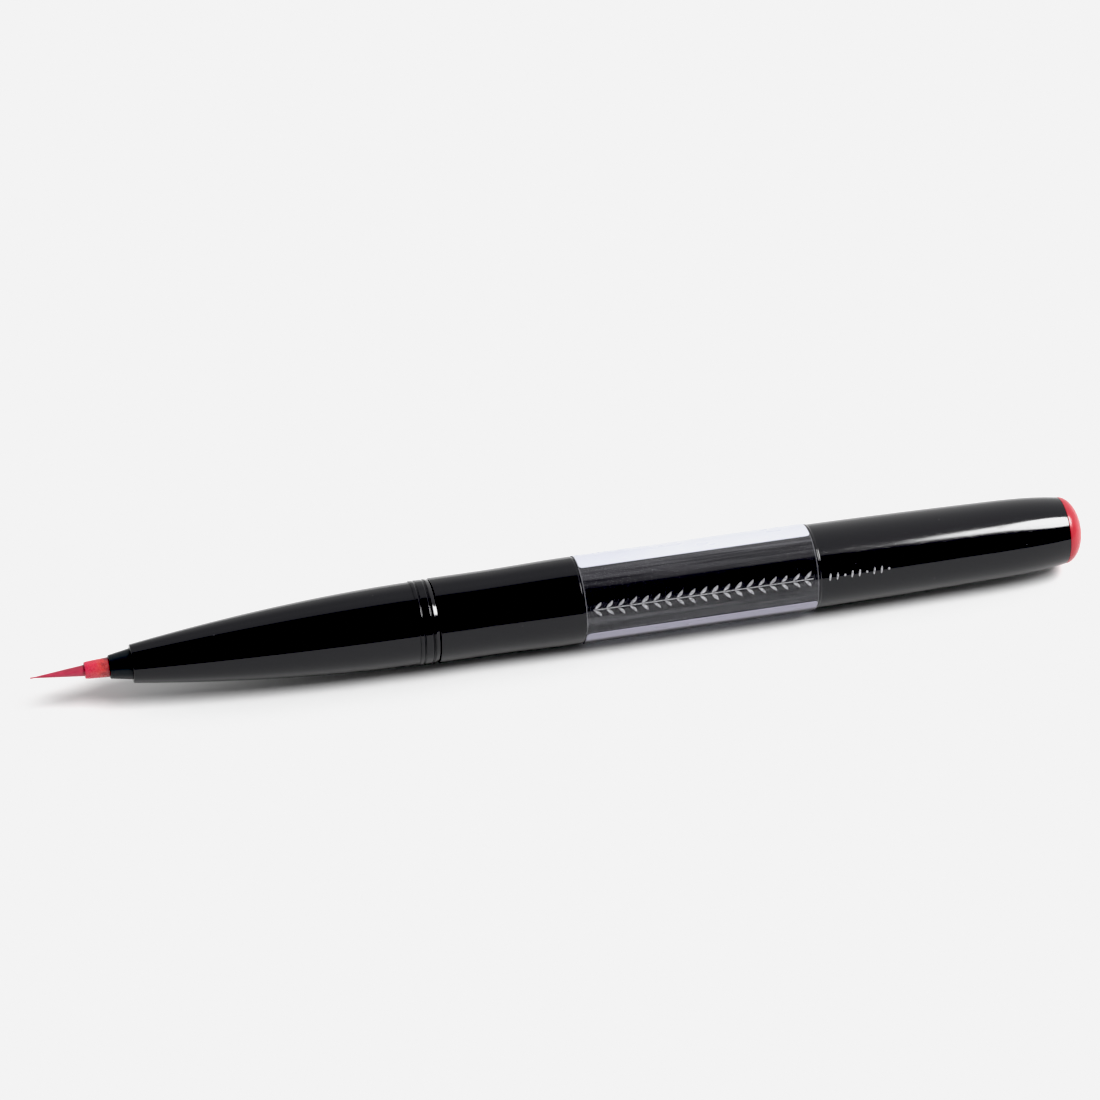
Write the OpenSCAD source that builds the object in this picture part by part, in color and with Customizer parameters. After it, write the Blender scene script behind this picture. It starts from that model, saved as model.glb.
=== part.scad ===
// Brush-tip calligraphy marker, uncapped: every piece is turned about one axis, the row's X axis.
// Stations are distances from the tip of the point, in millimetres, growing towards the tail.

/* [Point] */
// Length of the flexible point that stands out of the ferrule
point_len = 6.6; // [6:0.1:7.5]
// Diameter of the point where it meets the ferrule
point_root_d = 1.4; // [1.1:0.05:1.5]
// Diameter of the rounded end of the point
point_end_d = 0.16; // [0.1:0.02:0.3]
// Taper of the point: 1 is a straight cone, less is fuller
point_fullness = 0.95; // [0.7:0.05:1]
// Gap all round between the point's ball root and its pocket
flex_gap = 0.05; // [0.03:0.01:0.08]

/* [Ferrule and collar] */
// Length of ferrule that shows in front of the collar
ferrule_len = 3; // [2:0.1:4]
// Diameter of the ferrule at its front
ferrule_front_d = 2.04; // [1.9:0.02:2.2]
// Diameter of the ferrule where it stops against the collar
ferrule_back_d = 2.42; // [2.2:0.02:2.5]
// Diameter of the ferrule inside the collar
ferrule_d = 2.14; // [1.9:0.02:2.2]
// Length of the ferrule's stretch inside the collar
ferrule_grip = 7; // [5:0.5:8]
// Length of collar that shows in front of the front section
collar_len = 2.7; // [2:0.05:4]
// Diameter of the collar at its front edge
collar_front_d = 2.86; // [2.8:0.02:3.1]
// Diameter of the collar where it enters the front section
collar_back_d = 3.8; // [3.5:0.02:3.88]
// Diameter of the collar's stem inside the front section
collar_stem_d = 3.9; // [3.86:0.02:4]
// Length of the collar's stem
collar_stem_len = 9.9; // [9:0.1:11]
// Diameter of the flange behind the stem
collar_flange_d = 5.1; // [4.8:0.1:5.2]
// Number of air grooves along the stem
air_grooves = 3; // [2:1:6]

/* [Front section] */
// Diameter of the front section's mouth
mouth_d = 4.72; // [4.6:0.02:5]
// Length of the ogive from the mouth to the cap band
ogive_len = 34.8; // [30:0.2:40]
// Diameter at the back of the ogive
shoulder_d = 10.24; // [10:0.02:10.4]
// Fullness of the ogive: 1 is a straight cone
ogive_fullness = 1.8; // [1.4:0.1:2.2]
// Length of the ridged band that the cap grips
band_len = 2.55; // [2.45:0.05:4]
// Diameter of the band's ridges
band_d = 10.44; // [10.42:0.02:10.48]
// Number of grooves round the band
band_grooves = 2; // [1:1:2]
// Distance from the front of the band to the first groove
groove_start = 0.65; // [0.5:0.05:0.8]
// Distance from one groove to the next
groove_pitch = 1.1; // [0.6:0.1:1.2]
// Width of each groove
groove_w = 0.26; // [0.2:0.02:0.3]
// Depth of each groove
groove_depth = 0.14; // [0.08:0.02:0.2]
// Length of the bevel on the front section's side of the joint line
joint_bevel = 0.5; // [0.36:0.02:0.54]
// Length of the spigot that enters the barrel
spigot_len = 7; // [5:0.5:8]
// Radial clearance of the spigot and of the tail plug
slip_gap = 0.05; // [0.03:0.01:0.08]

/* [Barrel] */
// Diameter of the straight stretch at the front of the barrel
barrel_front_d = 10.52; // [10.5:0.02:10.7]
// Length of the straight stretch
barrel_straight = 5.6; // [5:0.2:8]
// Largest diameter of the barrel, just in front of the label
belly_d = 10.92; // [10.8:0.02:11.2]
// Distance from the front of the barrel to the label
label_start = 18.2; // [16:0.2:20]
// Diameter of the seat that the label is wrapped on
label_seat_d = 10.76; // [10.7:0.02:10.8]
// Length of the label
label_len = 29.6; // [28:0.2:32]
// Diameter of the barrel just behind the label
rear_d = 10.56; // [10.4:0.02:10.6]
// Length of the rear stretch, from the label to the tail plug
rear_len = 33.2; // [28:0.2:34]
// Diameter of the barrel at the tail plug
tail_d = 8.5; // [8.2:0.1:8.6]
// Bore of the barrel
bore_d = 8.8; // [8.6:0.05:8.9]
// Bore of the tail opening
tail_bore_d = 6.6; // [6:0.1:6.8]
// Number of ribs that hold the reservoir
ribs = 5; // [4:1:8]

/* [Tail plug] */
// Length of the plug's dome
dome_len = 2.4; // [1.8:0.1:3]
// Length of the plug's spigot
plug_grip = 6.2; // [5:0.1:6.6]

/* [Label] */
// Thickness of the clear film
film_t = 0.06; // [0.06:0.01:0.1]
// Thickness of the white panel
panel_t = 0.06; // [0.06:0.01:0.1]
// Angle that the white panel sweeps round the barrel
panel_sweep = 263; // [200:1:300]
// Upper front edge of the panel, in degrees above the front horizon
panel_top_edge = 82; // [60:2:100]

/* [Ink system] */
// Diameter of the fibre reservoir with its film
reservoir_d = 8.18; // [8:0.02:8.2]
// Diameter of the relay wick
wick_d = 1.8; // [1.6:0.1:2]
// Diameter of the wick's reduced front end
wick_front_d = 1.2; // [1:0.05:1.3]
// Depth that the wick reaches into the reservoir
wick_depth = 8; // [6:0.5:10]

/* [Hidden] */
round_fn = 128;
curve_steps = 24;
edge = 0.15;            // small broken edge
gloss_black = [0.02, 0.02, 0.025];
ink_red = [0.8, 0.07, 0.16];
fibre_white = [0.9, 0.88, 0.84];

// stations along the axis
ferrule_s = point_len;
collar_s = ferrule_s + ferrule_len;
mouth_s = collar_s + collar_len;
ferrule_end_s = collar_s + ferrule_grip;
stem_end_s = mouth_s + collar_stem_len;
flange_t = 1.4;
band_s = mouth_s + ogive_len;
joint_s = band_s + band_len;
seat_s = band_s + band_len / 2;
spigot_end_s = joint_s + spigot_len;
straight_end_s = joint_s + barrel_straight;
label_s = joint_s + label_start;
label_end_s = label_s + label_len;
tail_s = label_end_s + rear_len;
seat_margin = 0.25;     // bare seat at each end of the label
rear_s = label_end_s + seat_margin + edge;

// inside
front_wall = 0.8;
pocket_len = 0.8;       // from the flex centre to the wick's front end
reservoir_s = spigot_end_s + 0.2;
plug_s = tail_s - plug_grip;
bore_end_s = plug_s - 1.4;
film_wrap_t = 0.07;
rib_w = 0.7;
rib_gap = 0.03;
bush_t = 2;

// belly edge and rounded tail of the barrel
belly_end_s = label_s - seat_margin;
rear_sag = 0.56;
rear_power = 1.5;
tail_round_len = 9.8;
tail_round = (rear_d - tail_d) / 2 - rear_sag;

function ogive_r(s) = mouth_d / 2
    + (shoulder_d - mouth_d) / 2 * (1 - pow(1 - (s - mouth_s) / ogive_len, ogive_fullness));
function belly_r(s) = barrel_front_d / 2 + (belly_d - barrel_front_d) / 4
    * (1 - cos(180 * (s - straight_end_s) / (belly_end_s - straight_end_s)));
function rear_r(s) = rear_d / 2 - rear_sag * pow((s - rear_s) / (tail_s - rear_s), rear_power)
    - tail_round * pow(max(0, (s - tail_s + tail_round_len) / tail_round_len), 3);
function steps(from, to, n = curve_steps) = [for (i = [0:n]) from + (to - from) * i / n];

// a solid turned about the pen's axis, from an outline of [radius, station] points
module turned(outline, sweep = 360, from = 0) {
    translate([-seat_s, 0, 0])
        rotate([0, 90, 0])
            rotate([0, 0, from])
                rotate_extrude(angle = sweep, $fn = round_fn)
                    polygon(outline);
}

// a rod along the pen's axis between two stations
module rod(d, from, to, off = 0, turn = 0) {
    rotate([turn, 0, 0])
        translate([from - seat_s, 0, off])
            rotate([0, 90, 0])
                cylinder(d = d, h = to - from, $fn = 64);
}

// a bar along the pen's axis, off units above it, repeated round it
module bars(count, wide, high, from, to, off) {
    for (i = [0:count - 1])
        rotate([360 * i / count, 0, 0])
            translate([from - seat_s, -wide / 2, off])
                cube([to - from, wide, high]);
}

// flexible point with a ball root that turns in the ferrule's pocket
module brush_tip() {
    root_r = point_root_d / 2;
    end_r = point_end_d / 2;
    color(ink_red) {
        turned([
            [0, 0],
            [end_r * 0.7, end_r * 0.3],
            for (s = steps(end_r, ferrule_s, 12))
                [max(end_r, root_r * pow(s / ferrule_s, point_fullness)), s],
            [0, ferrule_s]
        ]);
        translate([ferrule_s - seat_s, 0, 0])
            rotate([0, 90, 0])
                sphere(r = root_r, $fn = 64);
    }
}

// ink-stained ferrule: pocket in front for the point, bore behind for the wick
module tip_holder() {
    r = ferrule_d / 2;
    color([0.86, 0.2, 0.22])
        difference() {
            turned([
                [0, ferrule_s],
                [ferrule_front_d / 2 - edge / 2, ferrule_s],
                [ferrule_front_d / 2, ferrule_s + edge],
                [ferrule_back_d / 2, collar_s],
                [r, collar_s],
                [r, ferrule_end_s],
                [0, ferrule_end_s]
            ]);
            translate([ferrule_s - seat_s, 0, 0])
                rotate([0, 90, 0])
                    sphere(r = point_root_d / 2 + flex_gap, $fn = 64);
            rod(wick_front_d, ferrule_s + pocket_len, ferrule_end_s + 1);
        }
}

// black mouthpiece: tapered nose, grooved stem and flange
module nib_collar() {
    stem_r = collar_stem_d / 2;
    color(gloss_black)
        difference() {
            turned([
                [0, collar_s],
                [collar_front_d / 2 - edge, collar_s],
                [collar_front_d / 2, collar_s + edge],
                [collar_back_d / 2, mouth_s],
                [stem_r, mouth_s + 0.6],
                [stem_r, stem_end_s],
                [collar_flange_d / 2, stem_end_s],
                [collar_flange_d / 2, stem_end_s + flange_t],
                [0, stem_end_s + flange_t]
            ]);
            rod(ferrule_d, collar_s - 1, ferrule_end_s);
            rod(wick_d, ferrule_end_s - 1, stem_end_s + flange_t + 1);
            bars(air_grooves, 0.4, 0.4, mouth_s + 1.5, stem_end_s + flange_t + 1, stem_r - 0.25);
        }
}

// ogive grip housing with the cap band and the spigot
module front_section() {
    lip_r = mouth_d / 2;
    spigot_r = bore_d / 2 - slip_gap;
    cavity_r = spigot_r - front_wall;
    color(gloss_black)
        difference() {
            turned([
                [collar_stem_d / 2, mouth_s],
                [lip_r - edge, mouth_s],
                for (s = steps(mouth_s + edge, band_s)) [ogive_r(s), s],
                [band_d / 2, band_s + edge],
                [band_d / 2, joint_s - joint_bevel],
                [band_d / 2 - edge, joint_s],
                [spigot_r, joint_s],
                [spigot_r, spigot_end_s - edge],
                [spigot_r - edge, spigot_end_s],
                [cavity_r, spigot_end_s],
                [cavity_r, band_s],
                [collar_flange_d / 2 + 0.1, stem_end_s],
                [collar_stem_d / 2, stem_end_s]
            ]);
            for (i = [1:band_grooves])
                turned([
                    [band_d / 2 - groove_depth, groove_s(i)],
                    [band_d / 2 + groove_depth, groove_s(i) - groove_w],
                    [band_d / 2 + groove_depth, groove_s(i) + groove_w]
                ]);
        }
}
function groove_s(i) = band_s + groove_start + groove_pitch * (i - 1);

// fibre relay rod from the ferrule into the reservoir
module relay_wick() {
    tail_end_s = reservoir_s + wick_depth - 0.5;
    color(ink_red)
        turned([
            [0, ferrule_s + pocket_len],
            [wick_front_d / 2, ferrule_s + pocket_len],
            [wick_front_d / 2, ferrule_end_s],
            [wick_d / 2, ferrule_end_s],
            [wick_d / 2, tail_end_s - 0.6],
            [wick_d / 2 - 0.4, tail_end_s],
            [0, tail_end_s]
        ]);
}

// bush that centres the wick in the spigot and lets air past
module wick_bush() {
    r = bore_d / 2 - slip_gap - front_wall;
    color([0.85, 0.86, 0.87])
        difference() {
            rod(2 * r, spigot_end_s - bush_t, spigot_end_s);
            rod(wick_d, spigot_end_s - bush_t - 1, spigot_end_s + 1);
            for (i = [0:3])
                rod(1, spigot_end_s - bush_t - 1, spigot_end_s + 1, 2.1, 90 * i);
        }
}

// barrel tube with the label seat, reservoir ribs and tail opening
module barrel() {
    front_r = barrel_front_d / 2;
    seat_r = label_seat_d / 2;
    bore_r = bore_d / 2;
    color(gloss_black) {
        turned([
            [bore_r, joint_s],
            [front_r - edge, joint_s],
            [front_r, joint_s + edge],
            for (s = steps(straight_end_s, belly_end_s - edge)) [belly_r(s), s],
            [seat_r, belly_end_s],
            [seat_r, rear_s - edge],
            for (s = steps(rear_s, tail_s)) [rear_r(s), s],
            [tail_bore_d / 2, tail_s],
            [tail_bore_d / 2, bore_end_s],
            [bore_r, bore_end_s]
        ]);
        rib_r = reservoir_d / 2 + rib_gap;
        bars(ribs, rib_w, bore_r + 0.1 - rib_r, reservoir_s, bore_end_s + 0.2, rib_r);
    }
}

// bonded fibre ink store with a blind hole for the wick
module reservoir_core() {
    color(fibre_white)
        difference() {
            rod(reservoir_d - 2 * film_wrap_t, reservoir_s, bore_end_s);
            rod(wick_d + 2 * slip_gap, reservoir_s - 1, reservoir_s + wick_depth);
        }
}

// film sleeve round the fibre core
module reservoir_film() {
    color([0.92, 0.94, 0.96, 0.5])
        difference() {
            rod(reservoir_d, reservoir_s, bore_end_s);
            rod(reservoir_d - 2 * film_wrap_t, reservoir_s - 1, bore_end_s + 1);
        }
}

// a band of the label between two radii
module label_band(inner_r, thick, sweep, from) {
    turned([
        [inner_r, label_s],
        [inner_r + thick, label_s],
        [inner_r + thick, label_end_s],
        [inner_r, label_end_s]
    ], sweep, from);
}

// clear film, wrapped once round the seat
module label_film() {
    color([0.8, 0.8, 0.85, 0.4])
        label_band(label_seat_d / 2, film_t, 360, 0);
}

// white panel over the top, the back and the underside
module label_panel() {
    color([0.93, 0.93, 0.95])
        label_band(label_seat_d / 2 + film_t, panel_t, panel_sweep, 270 - panel_top_edge - panel_sweep);
}

// red domed plug
module tail_plug() {
    spigot_r = tail_bore_d / 2 - slip_gap;
    hollow_r = spigot_r - 0.9;
    color(ink_red)
        turned([
            [hollow_r, plug_s],
            [spigot_r - 0.4, plug_s],
            [spigot_r, plug_s + 0.4],
            [spigot_r, tail_s],
            for (i = [0:16]) [tail_d / 2 * cos(90 * i / 16), tail_s + dome_len * sin(90 * i / 16)],
            [0, tail_s + 0.6],
            [hollow_r, tail_s + 0.6]
        ]);
}

brush_tip();
tip_holder();
nib_collar();
front_section();
relay_wick();
wick_bush();
barrel();
reservoir_core();
reservoir_film();
label_film();
label_panel();
tail_plug();
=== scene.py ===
import math
import random

import bmesh
import bpy
from mathutils import Matrix, Vector


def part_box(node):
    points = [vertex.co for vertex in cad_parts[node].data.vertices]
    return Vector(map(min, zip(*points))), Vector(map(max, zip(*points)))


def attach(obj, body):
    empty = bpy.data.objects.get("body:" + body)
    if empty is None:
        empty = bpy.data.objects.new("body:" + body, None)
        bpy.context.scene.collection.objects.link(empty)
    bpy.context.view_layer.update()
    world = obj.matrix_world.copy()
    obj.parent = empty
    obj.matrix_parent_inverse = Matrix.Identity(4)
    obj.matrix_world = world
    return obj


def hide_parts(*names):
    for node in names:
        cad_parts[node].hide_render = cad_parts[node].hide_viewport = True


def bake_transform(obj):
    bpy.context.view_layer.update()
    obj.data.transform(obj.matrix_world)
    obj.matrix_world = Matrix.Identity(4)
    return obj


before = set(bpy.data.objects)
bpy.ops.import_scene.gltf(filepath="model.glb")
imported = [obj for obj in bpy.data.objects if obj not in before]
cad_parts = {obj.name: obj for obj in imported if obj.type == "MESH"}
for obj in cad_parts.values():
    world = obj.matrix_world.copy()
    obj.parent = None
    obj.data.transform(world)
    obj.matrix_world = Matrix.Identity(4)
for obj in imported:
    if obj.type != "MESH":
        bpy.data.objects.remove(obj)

# Looks of the brush-tip calligraphy marker. The pen lies along X with its point at the low end.
# Lengths below are in millimetres, and MM turns them into Blender's metres. An angle round the pen
# is counted in degrees from the front horizon (-Y) up over the top (+Z).

MM = 0.001
FULL_TURN = 2 * math.pi
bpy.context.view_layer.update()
draw = random.Random(7)


# ---------------------------------------------------------------- stations and radii from the frame

def span(node):
    """First and last station of a CAD node along the pen, in mm."""
    low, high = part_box(node)
    return low.x / MM, high.x / MM


def outer_r(node):
    """Largest radius of a CAD node, in mm."""
    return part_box(node)[1].z / MM


TIP = span("brush_tip")[0]
FERRULE, FERRULE_END = span("tip_holder")
COLLAR, COLLAR_END = span("nib_collar")
MOUTH, SPIGOT_END = span("front_section")
JOINT, TAIL = span("barrel")
LABEL, LABEL_END = span("label_film")
PLUG, END = span("tail_plug")
STORE, STORE_END = span("reservoir_core")
WICK, WICK_END = span("relay_wick")

BAND_R = outer_r("front_section")
BELLY_R = outer_r("barrel")
FILM_R = outer_r("label_film")
PANEL_R = outer_r("label_panel")
DOME_R = outer_r("tail_plug")
FERRULE_R = outer_r("tip_holder")
FLANGE_R = outer_r("nib_collar")
POINT_R = outer_r("brush_tip")
STORE_R = outer_r("reservoir_core")
SLEEVE_R = outer_r("reservoir_film")
WICK_R = outer_r("relay_wick")

BAND_LEN = 2.55          # ridged band that the cap grips
BAND = JOINT - BAND_LEN
LIP_R = 2.36             # front section at its mouth
SHOULDER_R = 5.12        # front section where the ogive ends
OGIVE_FULLNESS = 1.8     # 1 would be a straight cone
BEVEL_LEN = 0.5          # bevel in front of the joint line
GROOVES = 2              # rings round the cap band
GROOVE_START = 0.65
GROOVE_PITCH = 1.1
GROOVE_W = 0.26
GROOVE_DEPTH = 0.14
SPIGOT_R = 4.35          # back of the front section, inside the barrel
SPIGOT_WALL = 0.8
BORE_R = 4.4
FRONT_R = 5.26           # barrel at its front
STRAIGHT_LEN = 5.6       # from the joint to the start of the swell
FILM_T = 0.06            # clear film of the label
SEAT_R = FILM_R - FILM_T
SEAT_MARGIN = 0.25       # bare seat at each end of the label
REAR_BEVEL = 0.15        # from the seat up to the rear barrel
BELLY_END = LABEL - SEAT_MARGIN
REAR = LABEL_END + SEAT_MARGIN + REAR_BEVEL
REAR_R = 5.28            # barrel just behind the label
REAR_SAG = 0.56          # slow narrowing from there to the tail
TAIL_ROUND_LEN = 9.8     # quicker rounding before the plug
TAIL_BORE_R = 3.3
RIBS = 5
RIB_TURN = 9.0           # width of a reservoir rib, in degrees
FERRULE_FRONT_R = 1.02
FERRULE_GRIP_R = 1.07    # ferrule inside the collar
STEM_R = 1.95            # collar inside the front section
COLLAR_FRONT_R = 1.43
COLLAR_BACK_R = 1.9
FLANGE_LEN = 1.4         # at the back of the collar
STEM_END = COLLAR_END - FLANGE_LEN
PANEL_FROM = 82          # upper edge of the label's white panel, in degrees
PANEL_SWEEP = 263
PRINT_LIFT = 0.002       # keeps a printed layer off the surface under it
CORNER_STEPS = 5         # points round a softened corner
CREASE = 38              # edges sharper than this stay sharp, in degrees


def ogive_r(x):
    """Radius of the front section between its mouth and the cap band."""
    share = (x - MOUTH) / (BAND - MOUTH)
    return LIP_R + (SHOULDER_R - LIP_R) * (1 - (1 - share) ** OGIVE_FULLNESS)


def belly_r(x):
    """Radius of the barrel's swell between the straight stretch and the label."""
    start = JOINT + STRAIGHT_LEN
    share = (x - start) / (BELLY_END - start)
    return FRONT_R + (BELLY_R - FRONT_R) * (1 - math.cos(math.pi * share)) / 2


def rear_r(x):
    """Radius of the barrel between the label and the tail plug."""
    share = max(0, (x - REAR) / (TAIL - REAR))
    rounding = max(0, (x - TAIL + TAIL_ROUND_LEN) / TAIL_ROUND_LEN)
    return REAR_R - REAR_SAG * share ** 1.5 - (REAR_R - DOME_R - REAR_SAG) * rounding ** 3


# ---------------------------------------------------------------- mesh building

def steps(low, high, count):
    return [low + (high - low) * i / count for i in range(count + 1)]


def curve(radius_at, low, high, count):
    """Outline points along a radius formula."""
    return [(x, radius_at(x), 0) for x in steps(low, high, count)]


def soften(corners, closed):
    """Rounds an outline's corners. A corner is (station, radius, length of its rounding)."""
    count = len(corners)
    result = []
    for i, (x, r, cut) in enumerate(corners):
        here = Vector((x, r))
        if cut == 0 or (not closed and i in (0, count - 1)):
            result.append((x, r))
            continue
        before = Vector(corners[i - 1][:2]) - here
        after = Vector(corners[(i + 1) % count][:2]) - here
        cut = min(cut, before.length * 0.45, after.length * 0.45)
        start = here + before.normalized() * cut
        end = here + after.normalized() * cut
        hold = min(0.6 * cut, 0.08)
        result.append(tuple(start + before.normalized() * hold))
        for t in steps(0, 1, CORNER_STEPS):
            result.append(tuple(start * (1 - t) ** 2 + here * 2 * t * (1 - t) + end * t ** 2))
        result.append(tuple(end + after.normalized() * hold))
    return result


def at(x, r, angle):
    """A point at a station, a radius and an angle in radians, in metres."""
    return (x * MM, -r * math.cos(angle) * MM, r * math.sin(angle) * MM)


def to_object(name, mesh_code):
    """Closes a bmesh into a smooth-shaded object."""
    bmesh.ops.recalc_face_normals(mesh_code, faces=mesh_code.faces)
    mesh = bpy.data.meshes.new(name)
    mesh_code.to_mesh(mesh)
    mesh_code.free()
    mesh.shade_smooth()
    mesh.set_sharp_from_angle(angle=math.radians(CREASE))
    piece = bpy.data.objects.new(name, mesh)
    bpy.context.scene.collection.objects.link(piece)
    return piece


def lathe(name, corners, closed=False, segments=144, warp=None):
    """Turns an outline about the pen's axis. closed joins its last point to its first."""
    mesh_code = bmesh.new()
    rings = []
    for x, r in soften(corners, closed):
        if r < 1e-5:
            rings.append([mesh_code.verts.new(at(x, 0, 0))])
            continue
        ring = []
        for k in range(segments):
            angle = FULL_TURN * k / segments
            moved = warp(x, r, angle) if warp else (x, r)
            ring.append(mesh_code.verts.new(at(*moved, angle)))
        rings.append(ring)
    pairs = list(zip(rings, rings[1:]))
    if closed:
        pairs.append((rings[-1], rings[0]))
    for one, two in pairs:
        for k in range(segments):
            n = (k + 1) % segments
            corner = [one[0]] if len(one) == 1 else [one[k], one[n]]
            corner += [two[0]] if len(two) == 1 else [two[n], two[k]]
            if len(corner) > 2:
                mesh_code.faces.new(corner)
    return to_object(name, mesh_code)


def patch(mesh_code, rows, base_r, thick):
    """A thin closed sheet on the barrel.

    rows holds rows of (station, angle in degrees) points, and the sheet thins to nothing at the
    outermost ones. base_r(x) is the radius that it lies on.
    """
    top, bottom = [], []
    for i, row in enumerate(rows):
        top.append([])
        bottom.append([])
        for j, (x, degrees) in enumerate(row):
            low = mesh_code.verts.new(at(x, base_r(x), math.radians(degrees)))
            bottom[i].append(low)
            if i in (0, len(rows) - 1) or j in (0, len(row) - 1):
                top[i].append(low)
            else:
                top[i].append(mesh_code.verts.new(at(x, base_r(x) + thick, math.radians(degrees))))
    for i in range(len(rows) - 1):
        for j in range(len(rows[0]) - 1):
            for sheet in (top, bottom):
                corner = [sheet[i][j], sheet[i + 1][j], sheet[i + 1][j + 1], sheet[i][j + 1]]
                if sheet is bottom:
                    corner.reverse()
                mesh_code.faces.new(corner)


# ---------------------------------------------------------------- materials

class Paint:
    """A procedural material whose textures are measured in millimetres on the pen."""

    def __init__(self, name, color, roughness):
        self.material = bpy.data.materials.new(name)
        self.material.use_nodes = True
        self.tree = self.material.node_tree
        self.shader = self.tree.nodes["Principled BSDF"]
        self.shader.inputs["Base Color"].default_value = (*color, 1)
        self.shader.inputs["Roughness"].default_value = roughness
        self.place = self.tree.nodes.new("ShaderNodeTexCoord").outputs["Object"]

    def set(self, **values):
        """Sets sockets of the shader, named with _ for a space."""
        for socket, value in values.items():
            self.shader.inputs[socket.replace("_", " ")].default_value = value
        return self

    def node(self, kind, inputs=(), **settings):
        made = self.tree.nodes.new(kind)
        for setting, value in settings.items():
            setattr(made, setting, value)
        for socket, value in dict(inputs).items():
            if isinstance(value, bpy.types.NodeSocket):
                self.tree.links.new(value, made.inputs[socket])
            else:
                made.inputs[socket].default_value = value
        return made

    def drive(self, socket, value):
        self.tree.links.new(value, self.shader.inputs[socket])

    def scaled(self, stretch):
        """Object coordinates in millimetres, squeezed along X, Y and Z by stretch."""
        scale = [1 / (MM * s) for s in stretch]
        return self.node("ShaderNodeMapping", {"Vector": self.place, "Scale": scale}).outputs[0]

    def noise(self, size, stretch=(1, 1, 1), detail=2.0):
        vector = self.scaled([size * s for s in stretch])
        inputs = {"Vector": vector, "Scale": 1.0, "Detail": detail}
        return self.node("ShaderNodeTexNoise", inputs).outputs[0]

    def remap(self, value, low, high, start=0.0, end=1.0):
        inputs = {0: value, 1: low, 2: high, 3: start, 4: end}
        return self.node("ShaderNodeMapRange", inputs).outputs[0]

    def spread(self, noise, start, end):
        """Brings noise from the range that it mostly fills to start and end."""
        return self.remap(noise, 0.3, 0.7, start, end)

    def math(self, operation, a, b=0.0):
        return self.node("ShaderNodeMath", {0: a, 1: b}, operation=operation).outputs[0]

    def mix(self, share, a, b):
        """A colour between a and b."""
        inputs = {"Factor": share, 6: (*a, 1) if isinstance(a, tuple) else a, 7: (*b, 1)}
        return self.node("ShaderNodeMix", inputs, data_type="RGBA").outputs[2]

    def specks(self, spacing, size, share):
        """1 inside rare round specks, else 0."""
        vector = self.scaled([spacing] * 3)
        cells = self.node("ShaderNodeTexVoronoi", {"Vector": vector, "Scale": 1.0})
        inside = self.remap(cells.outputs["Distance"], size / spacing, size / spacing * 0.5)
        chosen = self.node("ShaderNodeSeparateColor", {0: cells.outputs["Color"]}).outputs[0]
        return self.math("MULTIPLY", inside, self.math("GREATER_THAN", chosen, 1 - share))

    def bump(self, height, depth, under=None):
        inputs = {"Height": height, "Distance": depth * MM, "Strength": 1.0}
        if under:
            inputs["Normal"] = under
        normal = self.node("ShaderNodeBump", inputs).outputs[0]
        self.drive("Normal", normal)
        return normal

    def axial(self):
        """Separate X, Y and Z of the object coordinates, in metres."""
        return self.node("ShaderNodeSeparateXYZ", {0: self.place}).outputs

    def turn(self):
        """Angle round the pen in degrees, from the front horizon up over the top."""
        _, y, z = self.axial()
        front = self.math("MULTIPLY", y, -1.0)
        return self.math("MULTIPLY", self.math("ARCTAN2", z, front), 360 / FULL_TURN)


def black_plastic():
    paint = Paint("body_black", (0.006, 0.006, 0.008), 0.07).set(IOR=1.55)
    cloud = paint.noise(9, (2.5, 1, 1), 3)
    fine = paint.noise(0.05, (60, 1, 1), 2)
    scratch = paint.remap(fine, 0.62, 0.72)
    rough = paint.spread(cloud, 0.05, 0.1)
    dust = paint.specks(1.5, 0.09, 0.4)
    rough = paint.math("ADD", rough, paint.math("MULTIPLY", scratch, 0.06))
    rough = paint.math("ADD", rough, paint.math("MULTIPLY", dust, 0.3))
    paint.drive("Roughness", rough)
    paint.drive("Base Color", paint.mix(dust, (0.006, 0.006, 0.008), (0.05, 0.05, 0.055)))
    waves = paint.bump(paint.noise(7, (3, 1, 1), 1), 0.004)
    paint.bump(paint.math("MULTIPLY", scratch, -1.0), 0.0006, waves)
    return paint.material


def satin_black():
    paint = Paint("collar_black", (0.01, 0.012, 0.015), 0.32).set(IOR=1.42)
    grain = paint.noise(0.12, detail=3)
    paint.drive("Roughness", paint.spread(grain, 0.27, 0.4))
    tone = paint.mix(paint.noise(1.5), (0.007, 0.01, 0.013), (0.013, 0.015, 0.018))
    paint.drive("Base Color", tone)
    paint.bump(grain, 0.002)
    return paint.material


def stained_ferrule():
    paint = Paint("ferrule_red", (0.6, 0.06, 0.08), 0.25)
    paint.set(Subsurface_Weight=0.35, Subsurface_Scale=0.4 * MM, Subsurface_Radius=(1.0, 0.25, 0.2))
    x = paint.math("MULTIPLY", paint.axial()[0], 1 / MM)
    soak = paint.math("ADD", x, paint.spread(paint.noise(0.7, detail=3), -0.5, 0.5))
    rosy_end = paint.remap(soak, FERRULE + 1.9, FERRULE + 0.6)
    dark_end = paint.remap(soak, COLLAR - 1.1, COLLAR + 0.2)
    stain = paint.mix(paint.noise(0.5, (2, 1, 1), 3), (0.52, 0.045, 0.06), (0.66, 0.11, 0.085))
    stain = paint.mix(rosy_end, stain, (0.62, 0.05, 0.095))
    paint.drive("Base Color", paint.mix(dark_end, stain, (0.16, 0.03, 0.045)))
    paint.drive("Roughness", paint.spread(paint.noise(0.2, detail=3), 0.2, 0.34))
    return paint.material


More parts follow.
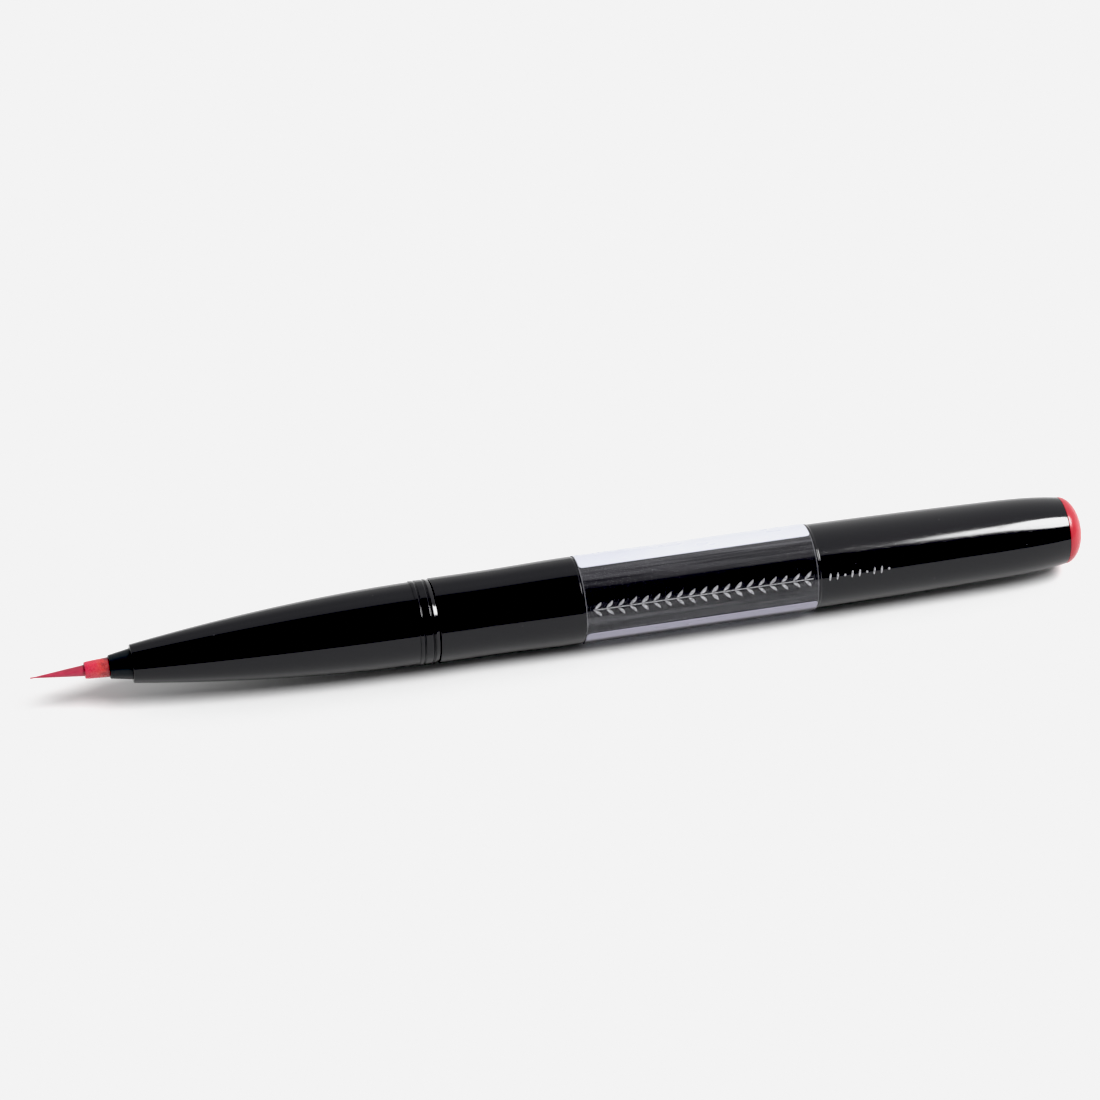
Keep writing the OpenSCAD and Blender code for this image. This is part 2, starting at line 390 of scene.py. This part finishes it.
def inked_point():
    paint = Paint("point_red", (0.45, 0.04, 0.08), 0.42)
    paint.set(Coat_Weight=0.25, Coat_Roughness=0.3)
    fibres = paint.noise(0.05, (24, 1, 1), 3)
    pooled = paint.noise(0.8, (2, 1, 1), 2)
    tone = paint.mix(fibres, (0.3, 0.03, 0.06), (0.66, 0.055, 0.11))
    paint.drive("Base Color", paint.mix(paint.remap(pooled, 0.45, 0.75), tone, (0.3, 0.03, 0.05)))
    paint.drive("Roughness", paint.spread(fibres, 0.34, 0.55))
    paint.bump(fibres, 0.012)
    return paint.material


def red_plug():
    paint = Paint("plug_red", (0.43, 0.036, 0.05), 0.2)
    paint.set(Subsurface_Weight=0.12, Subsurface_Scale=0.8 * MM, Subsurface_Radius=(1.0, 0.2, 0.2))
    cloud = paint.noise(2.4, detail=3)
    paint.drive("Base Color", paint.mix(cloud, (0.38, 0.03, 0.044), (0.48, 0.042, 0.056)))
    paint.drive("Roughness", paint.spread(cloud, 0.16, 0.27))
    paint.bump(paint.noise(2.0, detail=1), 0.002)
    return paint.material


def clear_film():
    paint = Paint("label_clear", (0.5, 0.5, 0.54), 0.12).set(IOR=1.45)
    x = paint.math("MULTIPLY", paint.axial()[0], 1 / MM)
    middle = (LABEL + LABEL_END) / 2
    from_middle = paint.math("ABSOLUTE", paint.math("SUBTRACT", x, middle))
    half = (LABEL_END - LABEL) / 2
    # Painted highlight: the film grows more opaque in its last 0.14 mm at each cut end, standing in
    # for light catching the edge.
    painted_edge_highlight = paint.remap(from_middle, half - 0.14, half - 0.06, 0.0, 0.14)
    turn = paint.turn()
    # Painted light: the film's haze is raised in a lower zone, full below 12 degrees round the pen,
    # and in an upper zone, full above 76 degrees, so the film looks lighter where light from the
    # floor and from above falls on it. The small even haze and the streaks are the film's own.
    under = paint.remap(turn, 32, 12, 0.0, 0.05)
    over = paint.remap(turn, 50, 76, 0.0, 0.06)
    haze_and_painted_light = paint.math("ADD", paint.math("ADD", under, over), 0.004)
    streaks = paint.remap(paint.noise(0.4, (40, 1, 1), 3), 0.38, 0.66, 0.25, 1.6)
    alpha = paint.math("ADD", paint.math("MULTIPLY", haze_and_painted_light, streaks), painted_edge_highlight)
    paint.drive("Alpha", alpha)
    paint.drive("Roughness", paint.spread(paint.noise(3, (3, 1, 1)), 0.08, 0.16))
    paint.bump(paint.noise(4, (4, 1, 1), 2), 0.004)
    return paint.material


def white_print():
    paint = Paint("label_white", (0.6, 0.6, 0.67), 0.3)
    tint = paint.noise(9, (2, 1, 1), 2)
    sheet = paint.mix(tint, (0.55, 0.56, 0.65), (0.64, 0.65, 0.69))
    turn = paint.turn()
    # Painted shade: from the front horizon down to about 58 degrees below it, the panel is painted
    # a darker lavender, standing in for the shade on its lower front where it faces the floor.
    painted_shade_stripe = paint.math("MULTIPLY", paint.remap(turn, -64, -58), paint.remap(turn, 4, 0))
    # Painted shade: from about 30 to 58 degrees below the front horizon, the panel is painted
    # nearly black, standing in for the deep shade on its underside near the floor.
    painted_shade_line = paint.math("MULTIPLY", painted_shade_stripe, paint.remap(turn, -28, -35))
    sheet = paint.mix(painted_shade_stripe, sheet, (0.36, 0.35, 0.43))
    paint.drive("Base Color", paint.mix(painted_shade_line, sheet, (0.02, 0.02, 0.025)))
    paint.drive("Roughness", paint.spread(paint.noise(2, (3, 1, 1)), 0.24, 0.38))
    paint.bump(paint.noise(3, (4, 1, 1), 2), 0.006)
    return paint.material


def silver_print():
    paint = Paint("print_silver", (0.42, 0.42, 0.44), 0.4).set(Metallic=0.25)
    worn = paint.noise(0.22, detail=3)
    tone = paint.mix(paint.remap(worn, 0.35, 0.6), (0.2, 0.2, 0.21), (0.5, 0.5, 0.52))
    paint.drive("Base Color", tone)
    paint.drive("Roughness", paint.spread(worn, 0.5, 0.32))
    return paint.material


def soaked_fibre(name, dry, wet, length):
    """Bonded fibres along the pen, soaked with ink."""
    paint = Paint(name, wet, 0.85)
    strands = paint.noise(0.06, (length, 1, 1), 3)
    paint.drive("Base Color", paint.mix(strands, dry, wet))
    paint.drive("Roughness", paint.spread(strands, 0.7, 0.95))
    paint.bump(strands, 0.03)
    return paint.material


def natural_plastic():
    paint = Paint("bush_natural", (0.72, 0.73, 0.72), 0.35)
    paint.set(Subsurface_Weight=0.3, Subsurface_Scale=0.8 * MM)
    stain = paint.remap(paint.noise(1.2, detail=3), 0.55, 0.75)
    paint.drive("Base Color", paint.mix(stain, (0.72, 0.73, 0.72), (0.75, 0.35, 0.38)))
    paint.drive("Roughness", paint.spread(paint.noise(0.4, detail=3), 0.28, 0.45))
    return paint.material


def wrap_film():
    paint = Paint("reservoir_wrap", (0.8, 0.62, 0.64), 0.2)
    wrinkle = paint.noise(0.5, (6, 1, 1), 3)
    paint.drive("Alpha", paint.spread(wrinkle, 0.25, 0.45))
    paint.drive("Roughness", paint.spread(wrinkle, 0.15, 0.3))
    paint.bump(wrinkle, 0.02)
    return paint.material


BLACK = black_plastic()
SATIN = satin_black()
FERRULE_RED = stained_ferrule()
POINT_RED = inked_point()
PLUG_RED = red_plug()
CLEAR = clear_film()
WHITE = white_print()
SILVER = silver_print()
STORE_FIBRE = soaked_fibre("reservoir_fibre", (0.85, 0.6, 0.6), (0.7, 0.12, 0.16), 40)
WICK_FIBRE = soaked_fibre("wick_fibre", (0.75, 0.1, 0.14), (0.5, 0.01, 0.05), 40)
NATURAL = natural_plastic()
WRAP = wrap_film()


def dress(piece, material, slot, body, *nodes):
    """Gives a piece its material and body, and hides the CAD nodes that it replaces. Its slot is
    not used.
    """
    piece.data.materials.append(material)
    if body:
        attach(piece, body)
    if nodes:
        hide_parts(*nodes)
    return piece


# ---------------------------------------------------------------- point, ferrule and collar

def build_point():
    """Flexible fibre point with fine flutes that fade towards its tip, and its ball root."""
    length = FERRULE - TIP
    end_r = 0.075
    fullness = 0.95      # 1 would be a straight cone
    flute_depth = 0.012  # as a share of the radius

    def cone(x):
        return POINT_R * ((x - TIP) / length) ** fullness

    def flutes(x, r, angle):
        fade = min(1, max(0, (x - TIP - 0.5) / 2)) * (x < FERRULE - 0.1)
        ripple = math.sin(17 * angle + 0.8 * x) + 0.6 * math.sin(29 * angle - 1.3 * x)
        return x, r * (1 - fade * flute_depth * (1.6 + ripple))

    start = TIP + 0.12
    corners = [(TIP, 0, 0), (TIP + 0.02, end_r * 0.6, 0), (TIP + 0.06, end_r * 0.9, 0)]
    corners += [(x, max(end_r, cone(x)), 0) for x in steps(start, FERRULE - 0.12, 60)]
    corners += [(FERRULE, POINT_R, 0)]
    corners += [(FERRULE + POINT_R * math.sin(t), POINT_R * math.cos(t), 0)
                for t in steps(0.1, math.pi / 2 - 0.1, 8)]
    corners += [(FERRULE + POINT_R, 0, 0)]
    piece = lathe("fibre_point", corners, segments=96, warp=flutes)
    dress(piece, POINT_RED, "point_red", None, "brush_tip")
    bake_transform(piece)


def build_ferrule():
    pocket_r = POINT_R + 0.012
    wick_bore_r = 0.6
    corners = [(FERRULE + pocket_r, 0, 0)]
    corners += [(FERRULE + pocket_r * math.cos(t), pocket_r * math.sin(t), 0)
                for t in steps(0.15, math.pi / 2 - 0.15, 8)]
    corners += [
        (FERRULE, pocket_r, 0.02),
        (FERRULE, FERRULE_FRONT_R - 0.04, 0.3),
        (FERRULE + 0.4, FERRULE_FRONT_R + 0.04, 0),
        (COLLAR - 0.02, FERRULE_R, 0.05),
        (COLLAR - 0.02, FERRULE_GRIP_R, 0.02),
        (FERRULE_END, FERRULE_GRIP_R, 0.15),
        (FERRULE_END, wick_bore_r, 0.08),
        (WICK, wick_bore_r, 0),
        (WICK, 0, 0),
    ]
    piece = lathe("ferrule", corners, segments=96)
    dress(piece, FERRULE_RED, "ferrule_red", "front_unit", "tip_holder")


def build_collar():
    pitch = FULL_TURN / 3    # between air grooves
    groove_floor = STEM_R - 0.25
    groove_turn = math.radians(6)
    grooves_from = MOUTH + 1.5

    def air_grooves(x, r, angle):
        off = abs((angle + pitch / 2) % pitch - pitch / 2)
        cut = grooves_from < x and r > groove_floor and off < groove_turn
        return x, groove_floor if cut else r

    corners = [
        (COLLAR, FERRULE_GRIP_R + 0.01, 0.06),
        (COLLAR, COLLAR_FRONT_R, 0.16),
        (MOUTH - 0.05, COLLAR_BACK_R, 0.05),
        (MOUTH + 0.6, STEM_R, 0.1),
        (grooves_from - 0.01, STEM_R, 0),
        (grooves_from + 0.02, STEM_R, 0),
        (STEM_END, STEM_R, 0.06),
        (STEM_END, FLANGE_R, 0.15),
        (COLLAR_END, FLANGE_R, 0.15),
        (COLLAR_END, WICK_R + 0.005, 0.08),
        (FERRULE_END + 0.02, WICK_R + 0.005, 0.05),
        (FERRULE_END + 0.02, FERRULE_GRIP_R + 0.01, 0.05),
    ]
    piece = lathe("collar", corners, closed=True, segments=120, warp=air_grooves)
    dress(piece, SATIN, "collar_black", "front_unit", "nib_collar")


# ---------------------------------------------------------------- front section, wick and bush

def build_front_section():
    spigot_bore_r = SPIGOT_R - SPIGOT_WALL
    corners = [(MOUTH, STEM_R + 0.01, 0.08), (MOUTH, LIP_R, 0.2)]
    corners += curve(ogive_r, MOUTH + 0.3, BAND - 0.25, 60)
    corners += [(BAND, SHOULDER_R, 0.06), (BAND + 0.15, BAND_R, 0.08)]
    for i in range(GROOVES):
        middle = BAND + GROOVE_START + GROOVE_PITCH * i
        corners += [
            (middle - GROOVE_W / 2, BAND_R, 0.06),
            (middle, BAND_R - GROOVE_DEPTH, 0.1),
            (middle + GROOVE_W / 2, BAND_R, 0.06),
        ]
    corners += [
        (JOINT - BEVEL_LEN, BAND_R, 0.1),
        (JOINT - 0.02, BAND_R - 0.15, 0.05),
        (JOINT - 0.02, SPIGOT_R, 0.05),
        (SPIGOT_END, SPIGOT_R, 0.25),
        (SPIGOT_END, spigot_bore_r + 0.01, 0.1),
        (BAND, spigot_bore_r + 0.01, 0.5),
        (STEM_END, FLANGE_R + 0.05, 0.3),
        (STEM_END, STEM_R + 0.01, 0.05),
    ]
    piece = lathe("grip_section", corners, closed=True, segments=192)
    dress(piece, BLACK, "body_black", "front_unit", "front_section")


def build_wick():
    front_r = 0.59
    corners = [
        (WICK + 0.01, 0, 0),
        (WICK + 0.01, front_r, 0.1),
        (FERRULE_END + 0.04, front_r, 0.05),
        (FERRULE_END + 0.04, WICK_R, 0.1),
        (WICK_END - 0.6, WICK_R, 0.2),
        (WICK_END, WICK_R - 0.4, 0.12),
        (WICK_END, 0, 0),
    ]

    def strands(x, r, angle):
        return x, r * (1 - 0.012 * (1 + math.sin(23 * angle + x)))

    piece = lathe("wick", corners, segments=72, warp=strands)
    dress(piece, WICK_FIBRE, "wick_fibre", "front_unit", "relay_wick")


def dress_bush():
    """The bush keeps its CAD shape with its four air holes, and gets broken edges."""
    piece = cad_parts["wick_bush"]
    piece.data.materials.clear()
    piece.data.materials.append(NATURAL)
    edge = piece.modifiers.new("broken_edges", "BEVEL")
    edge.width = 0.08 * MM
    edge.segments = 2
    edge.limit_method = "ANGLE"


# ---------------------------------------------------------------- barrel, reservoir and plug

def build_barrel():
    rib_r = SLEEVE_R + 0.03
    ribs_from = STORE - 0.05

    def ribs(x, r, angle):
        pitch = 360 / RIBS
        off = abs((math.degrees(angle) - 90 + pitch / 2) % pitch - pitch / 2)
        inside = abs(r - BORE_R) < 0.06 and ribs_from < x < STORE_END + 0.01
        return x, rib_r if inside and off < RIB_TURN / 2 else r

    straight_end = JOINT + STRAIGHT_LEN
    corners = [
        (JOINT + 0.02, BORE_R, 0.15),
        (JOINT + 0.02, FRONT_R, 0.17),
        (straight_end - 0.3, FRONT_R, 0),
    ]
    corners += curve(belly_r, straight_end, BELLY_END - 0.4, 30)
    corners += [
        (BELLY_END - 0.02, BELLY_R, 0.1),
        (BELLY_END, SEAT_R, 0.03),
        (LABEL + 0.1, SEAT_R, 0),
        (LABEL_END - 0.1, SEAT_R, 0),
        (REAR - REAR_BEVEL, SEAT_R, 0.05),
        (REAR, REAR_R, 0.08),
    ]
    corners += curve(rear_r, REAR + 0.4, TAIL - 0.3, 60)
    corners += [
        (TAIL - 0.08, rear_r(TAIL - 0.08), 0),
        (TAIL - 0.01, DOME_R, 0.05),
        (TAIL - 0.02, TAIL_BORE_R, 0.2),
        (STORE_END, TAIL_BORE_R, 0.2),
        (STORE_END, BORE_R, 0.05),
        (ribs_from + 0.02, BORE_R, 0),
        (ribs_from - 0.02, BORE_R, 0),
    ]
    piece = lathe("barrel_shell", corners, closed=True, segments=240, warp=ribs)
    dress(piece, BLACK, "body_black", "barrel", "barrel")


def build_reservoir():
    hole_r = WICK_R + 0.05
    hole_end = STORE + 8

    def ragged(x, r, angle):
        if STORE + 0.01 < x < STORE_END - 0.01 or r < 0.2:
            return x, r
        return x + 0.05 * (1 + math.sin(7 * angle + 9 * r)) * (1 if x < LABEL else -1), r

    core = [(hole_end, 0, 0), (hole_end, hole_r, 0.1), (STORE, hole_r, 0.15)]
    core += [(STORE, r, 0) for r in steps(1.4, STORE_R - 0.4, 8)]
    core += [(STORE, STORE_R, 0.15), (STORE_END, STORE_R, 0.15)]
    core += [(STORE_END, r, 0) for r in steps(STORE_R - 0.5, 0.5, 8)] + [(STORE_END, 0, 0)]
    piece = lathe("fibre_store", core, segments=120, warp=ragged)
    dress(piece, STORE_FIBRE, "reservoir_fibre", "barrel", "reservoir_core")

    def wrinkles(x, r, angle):
        return x, r - 0.008 * (1 + math.sin(31 * angle + 2 * x))

    sleeve = [(x, SLEEVE_R, 0.02 if x in (STORE, STORE_END) else 0)
              for x in steps(STORE, STORE_END, 40)]
    sleeve += [(STORE_END, STORE_R + 0.02, 0.02), (STORE, STORE_R + 0.02, 0.02)]
    piece = lathe("fibre_store_wrap", sleeve, closed=True, segments=120, warp=wrinkles)
    dress(piece, WRAP, "reservoir_wrap", "barrel", "reservoir_film")


def build_plug():
    spigot_r = TAIL_BORE_R - 0.05
    hollow_r = spigot_r - 0.9
    dome_len = END - TAIL
    corners = [(TAIL + 0.6, 0, 0), (TAIL + 0.6, hollow_r, 0.3), (PLUG, hollow_r, 0.12)]
    corners += [(PLUG, spigot_r - 0.4, 0.05), (PLUG + 0.4, spigot_r, 0.1)]
    corners += [(TAIL + 0.01, spigot_r, 0.05), (TAIL + 0.01, DOME_R, 0.05)]
    corners += [(TAIL + dome_len * math.sin(t), DOME_R * math.cos(t), 0)
                for t in steps(0.12, math.pi / 2 - 0.06, 20)]
    corners += [(END, 0, 0)]
    piece = lathe("end_plug", corners, segments=144)
    dress(piece, PLUG_RED, "plug_red", "tail_plug", "tail_plug")


# ---------------------------------------------------------------- label and printed marks

def build_label_film():
    inner = SEAT_R + 0.006
    corners = [(x, FILM_R, 0.02 if x in (LABEL, LABEL_END) else 0)
               for x in steps(LABEL, LABEL_END, 12)]
    corners += [(LABEL_END, inner, 0.01), (LABEL, inner, 0.01)]
    piece = lathe("label_wrap", corners, closed=True, segments=192)
    dress(piece, CLEAR, "label_clear", "barrel", "label_film")


def build_label_panel():
    """White panel over the top, the back and the underside, with rounded corners."""
    corner_mm = 0.5
    round_mm = math.radians(1) * PANEL_R
    turns = [0, 0.4, 1, 2, 3, 4.5] + steps(6, PANEL_SWEEP - 6, 120)
    turns += [PANEL_SWEEP - t for t in (4.5, 3, 2, 1, 0.4, 0)]
    inset = 0.04
    rows = []
    for turn in turns:
        near = min(turn, PANEL_SWEEP - turn) * round_mm
        cut = corner_mm - math.sqrt(max(0, corner_mm ** 2 - max(0, corner_mm - near) ** 2))
        low, high = LABEL + inset + cut, LABEL_END - inset - cut
        stations = [low, low + 0.05] + steps(low + 0.4, high - 0.4, 16) + [high - 0.05, high]
        rows.append([(x, PANEL_FROM + turn) for x in stations])
    mesh_code = bmesh.new()
    base = FILM_R + PRINT_LIFT
    patch(mesh_code, rows, lambda x: base, PANEL_R - base)
    piece = to_object("label_print", mesh_code)
    dress(piece, WHITE, "label_white", "barrel", "label_panel")


def stroke(mesh_code, centre, half_width, base_r, count):
    """A thin printed stroke of count steps.

    centre(t) gives (station, mm round the barrel), and half_width(t) is in mm, for t from 0 to 1.
    """
    ink = 0.012
    thinnest = 0.012
    degrees = math.degrees(1) / FILM_R
    rows = []
    for t in steps(0, 1, count):
        x, arc = centre(t)
        ahead, behind = Vector(centre(t + 0.01)), Vector(centre(t - 0.01))
        along = (ahead - behind).normalized()
        side = Vector((-along.y, along.x)) * max(thinnest, half_width(t))
        rows.append([(x + side.x * c, (arc + side.y * c) * degrees)
                     for c in (-1, -0.75, 0, 0.75, 1)])
    patch(mesh_code, rows, base_r, ink)


def build_ornament():
    """A generic printed border in the label's clear window: pairs of leaves along a stem."""
    row_angle = 21.5
    middle = math.radians(row_angle) * FILM_R
    start, end = LABEL + 0.9, LABEL_END - 0.7
    mesh_code = bmesh.new()
    base = FILM_R + PRINT_LIFT

    def base_r(x):
        return base

    def stem(t):
        return start + (end - start) * t, middle

    stroke(mesh_code, stem, lambda t: 0.06, base_r, 60)
    pairs = 19
    pitch = (end - start - 1.3) / (pairs - 1)
    for i in range(pairs):
        root = start + 0.15 + pitch * i
        wide = draw.uniform(0.17, 0.22)
        for side in (1, -1):
            high = draw.uniform(0.9, 1.02)
            lean = draw.uniform(0.75, 0.95)

            def leaf(t):
                arc = middle + side * (0.12 + (high - 0.12) * t)
                return root + lean * t + 0.14 * math.sin(math.pi * t), arc

            def leaf_w(t):
                return wide * math.sin(math.pi * min(1, max(0, t)) ** 0.8)

            stroke(mesh_code, leaf, leaf_w, base_r, 10)
    piece = to_object("label_ornament", mesh_code)
    dress(piece, SILVER, "label_white", "barrel")


def build_marks():
    """A short row of plain slanted bars and dots printed on the barrel behind the label."""
    row_angle = 20.5
    middle = math.radians(row_angle) * REAR_R
    start = LABEL_END + 1.5
    pitch = 0.95
    mesh_code = bmesh.new()

    def base_r(x):
        return rear_r(x) + PRINT_LIFT

    for i in range(9):
        high, wide = (0.16, 0.14) if i % 3 == 2 else (0.48, 0.12)

        def bar(t):
            return start + pitch * i + 0.3 * high * (t - 0.5), middle + high * (2 * t - 1)

        def bar_w(t):
            return wide * math.sqrt(max(0, 1 - (2 * min(1, max(0, t)) - 1) ** 4))

        stroke(mesh_code, bar, bar_w, base_r, 10)
    piece = to_object("barrel_marks", mesh_code)
    dress(piece, SILVER, "label_white", "barrel")


build_point()
build_ferrule()
build_collar()
build_front_section()
build_wick()
dress_bush()
build_barrel()
build_reservoir()
build_plug()
build_label_film()
build_label_panel()
build_ornament()
build_marks()


# ---------------------------------------------------------------- floor, light and camera

# Lengths in this section are in metres where no comment says mm.

VIEW_YAW = math.radians(13.2)        # the tail points this far away from the camera
VIEW_ELEVATION = math.radians(37)
VIEW_DISTANCE = 0.5158
VIEW_ANGLE = math.radians(15)
AIM_BACK = 2.075                     # the aim lies this far in front of the pen's middle, in mm
AIM_RISE = 6.62                      # and this far above it in the picture, in mm
BLACK_LEVEL = 0.03                   # light that shows as black
WHITE_LEVEL = 0.896                  # brightest tone in the picture
KEY_RADIANCE = 18.0
ROOM_RADIANCE = 0.26
WALL_RADIANCE = 0.52
CANOPY_RADIANCE = 0.7

look = Vector((
    math.cos(VIEW_ELEVATION) * math.sin(VIEW_YAW),
    math.cos(VIEW_ELEVATION) * math.cos(VIEW_YAW),
    -math.sin(VIEW_ELEVATION),
))
picture_right = Vector((math.cos(VIEW_YAW), -math.sin(VIEW_YAW), 0))
picture_up = picture_right.cross(look)


def add_floor():
    half = 1.5
    level = -PANEL_R * MM - 0.00001
    mesh = bpy.data.meshes.new("floor")
    mesh.from_pydata([(x * half, y * half, level) for x, y in ((-1, -1), (1, -1), (1, 1), (-1, 1))],
                     [], [(0, 1, 2, 3)])
    floor = bpy.data.objects.new("floor", mesh)
    bpy.context.scene.collection.objects.link(floor)
    paint = Paint("floor_card", (0.83, 0.83, 0.83), 0.7)
    paper = paint.noise(1.5, detail=3)
    paint.drive("Base Color", paint.mix(paper, (0.82, 0.82, 0.82), (0.84, 0.84, 0.84)))
    paint.bump(paper, 0.01)
    mesh.materials.append(paint.material)


def place(name, data, right, up, back, spot):
    """Adds a light or camera whose local X, Y and Z axes are right, up and back."""
    holder = bpy.data.objects.new(name, data)
    bpy.context.scene.collection.objects.link(holder)
    turn = Matrix((right, up, back)).transposed()
    holder.matrix_world = Matrix.Translation(spot) @ turn.to_4x4()
    return holder


def add_key():
    """A nearly round softbox high beyond the tail, which draws the highlight on the rear barrel."""
    height_angle = math.radians(68)      # in the plane across the pen, from the front horizon
    turn = math.radians(33)              # out of that plane, towards the tail
    along, across = math.radians(28), math.radians(29)
    distance = 1.4
    across_axis = Vector((0, -math.cos(height_angle), math.sin(height_angle)))
    back = Vector((math.sin(turn), 0, 0)) + across_axis * math.cos(turn)
    right = Vector((math.cos(turn), 0, 0)) - across_axis * math.sin(turn)
    middle = Vector(((TIP + END) / 2 * MM, 0, 0))
    light = bpy.data.lights.new("key_softbox", "AREA")
    light.shape = "ELLIPSE"
    light.size = 2 * distance * math.tan(along / 2)
    light.size_y = 2 * distance * math.tan(across / 2)
    light.energy = KEY_RADIANCE * math.pi * math.pi / 4 * light.size * light.size_y
    place("key_softbox", light, right, back.cross(right), back, middle + back * distance)


def add_world():
    """A dim room with a pale wall behind the pen and a pale canopy over the tail."""
    world = bpy.data.worlds.new("studio")
    bpy.context.scene.world = world
    world.use_nodes = True
    tree = world.node_tree
    direction = tree.nodes.new("ShaderNodeTexCoord").outputs["Generated"]

    def calculate(operation, a, b):
        made = tree.nodes.new("ShaderNodeMath")
        made.operation = operation
        for socket, value in enumerate((a, b)):
            if isinstance(value, float):
                made.inputs[socket].default_value = value
            else:
                tree.links.new(value, made.inputs[socket])
        return made.outputs[0]

    def edge(axis, start, end):
        """0 to 1 as a direction turns towards the axis, between two cosines."""
        dot = tree.nodes.new("ShaderNodeVectorMath")
        dot.operation = "DOT_PRODUCT"
        dot.inputs[1].default_value = axis
        tree.links.new(direction, dot.inputs[0])
        ramp = tree.nodes.new("ShaderNodeMapRange")
        ramp.interpolation_type = "SMOOTHSTEP"
        ramp.inputs[1].default_value = start
        ramp.inputs[2].default_value = end
        tree.links.new(dot.outputs["Value"], ramp.inputs[0])
        return ramp.outputs[0]

    rear, tailward = Vector((0, 1, 0)), Vector((1, 0, 0))
    canopy_front = math.radians(63)      # the canopy's front edge, from the front horizon
    over = Vector((0, math.sin(canopy_front), math.cos(canopy_front)))
    wall = calculate("MULTIPLY", edge(rear, 0.2, 0.32), WALL_RADIANCE)
    dusk = calculate("MULTIPLY", edge(rear, 0.5, 0.85), WALL_RADIANCE * 0.3)
    canopy = calculate("MULTIPLY", edge(tailward, 0.18, 0.22), edge(over, -0.03, 0.05))
    canopy = calculate("MULTIPLY", canopy, CANOPY_RADIANCE)
    total = calculate("MAXIMUM", calculate("SUBTRACT", wall, dusk), canopy)
    total = calculate("ADD", total, ROOM_RADIANCE)
    tree.links.new(total, tree.nodes["Background"].inputs["Strength"])
    tree.nodes["Background"].inputs["Color"].default_value = (1, 1, 1, 1)


def add_camera():
    camera = bpy.data.cameras.new("camera")
    camera.angle = VIEW_ANGLE
    aim = Vector((((TIP + END) / 2 - AIM_BACK) * MM, 0, 0)) + picture_up * AIM_RISE * MM
    spot = aim - look * VIEW_DISTANCE
    bpy.context.scene.camera = place("camera", camera, picture_right, picture_up, -look, spot)


def set_tones():
    """Plain tones, with the blacks pulled down and the whites levelled off as in a product shot."""
    settings = bpy.context.scene.view_settings
    settings.view_transform = "Standard"
    settings.look = "None"
    settings.use_curve_mapping = True
    mapping = settings.curve_mapping
    mapping.black_level = (BLACK_LEVEL,) * 3
    mapping.extend = "HORIZONTAL"
    shoulder = mapping.curves[3].points
    shoulder[1].location = (1, WHITE_LEVEL)
    shoulder.new(0.6, 0.6).handle_type = "VECTOR"
    shoulder.new(0.8, 0.79)
    shoulder.new(0.9, 0.87)
    shoulder[0].handle_type = "VECTOR"
    mapping.update()


add_floor()
add_key()
add_world()
add_camera()
set_tones()
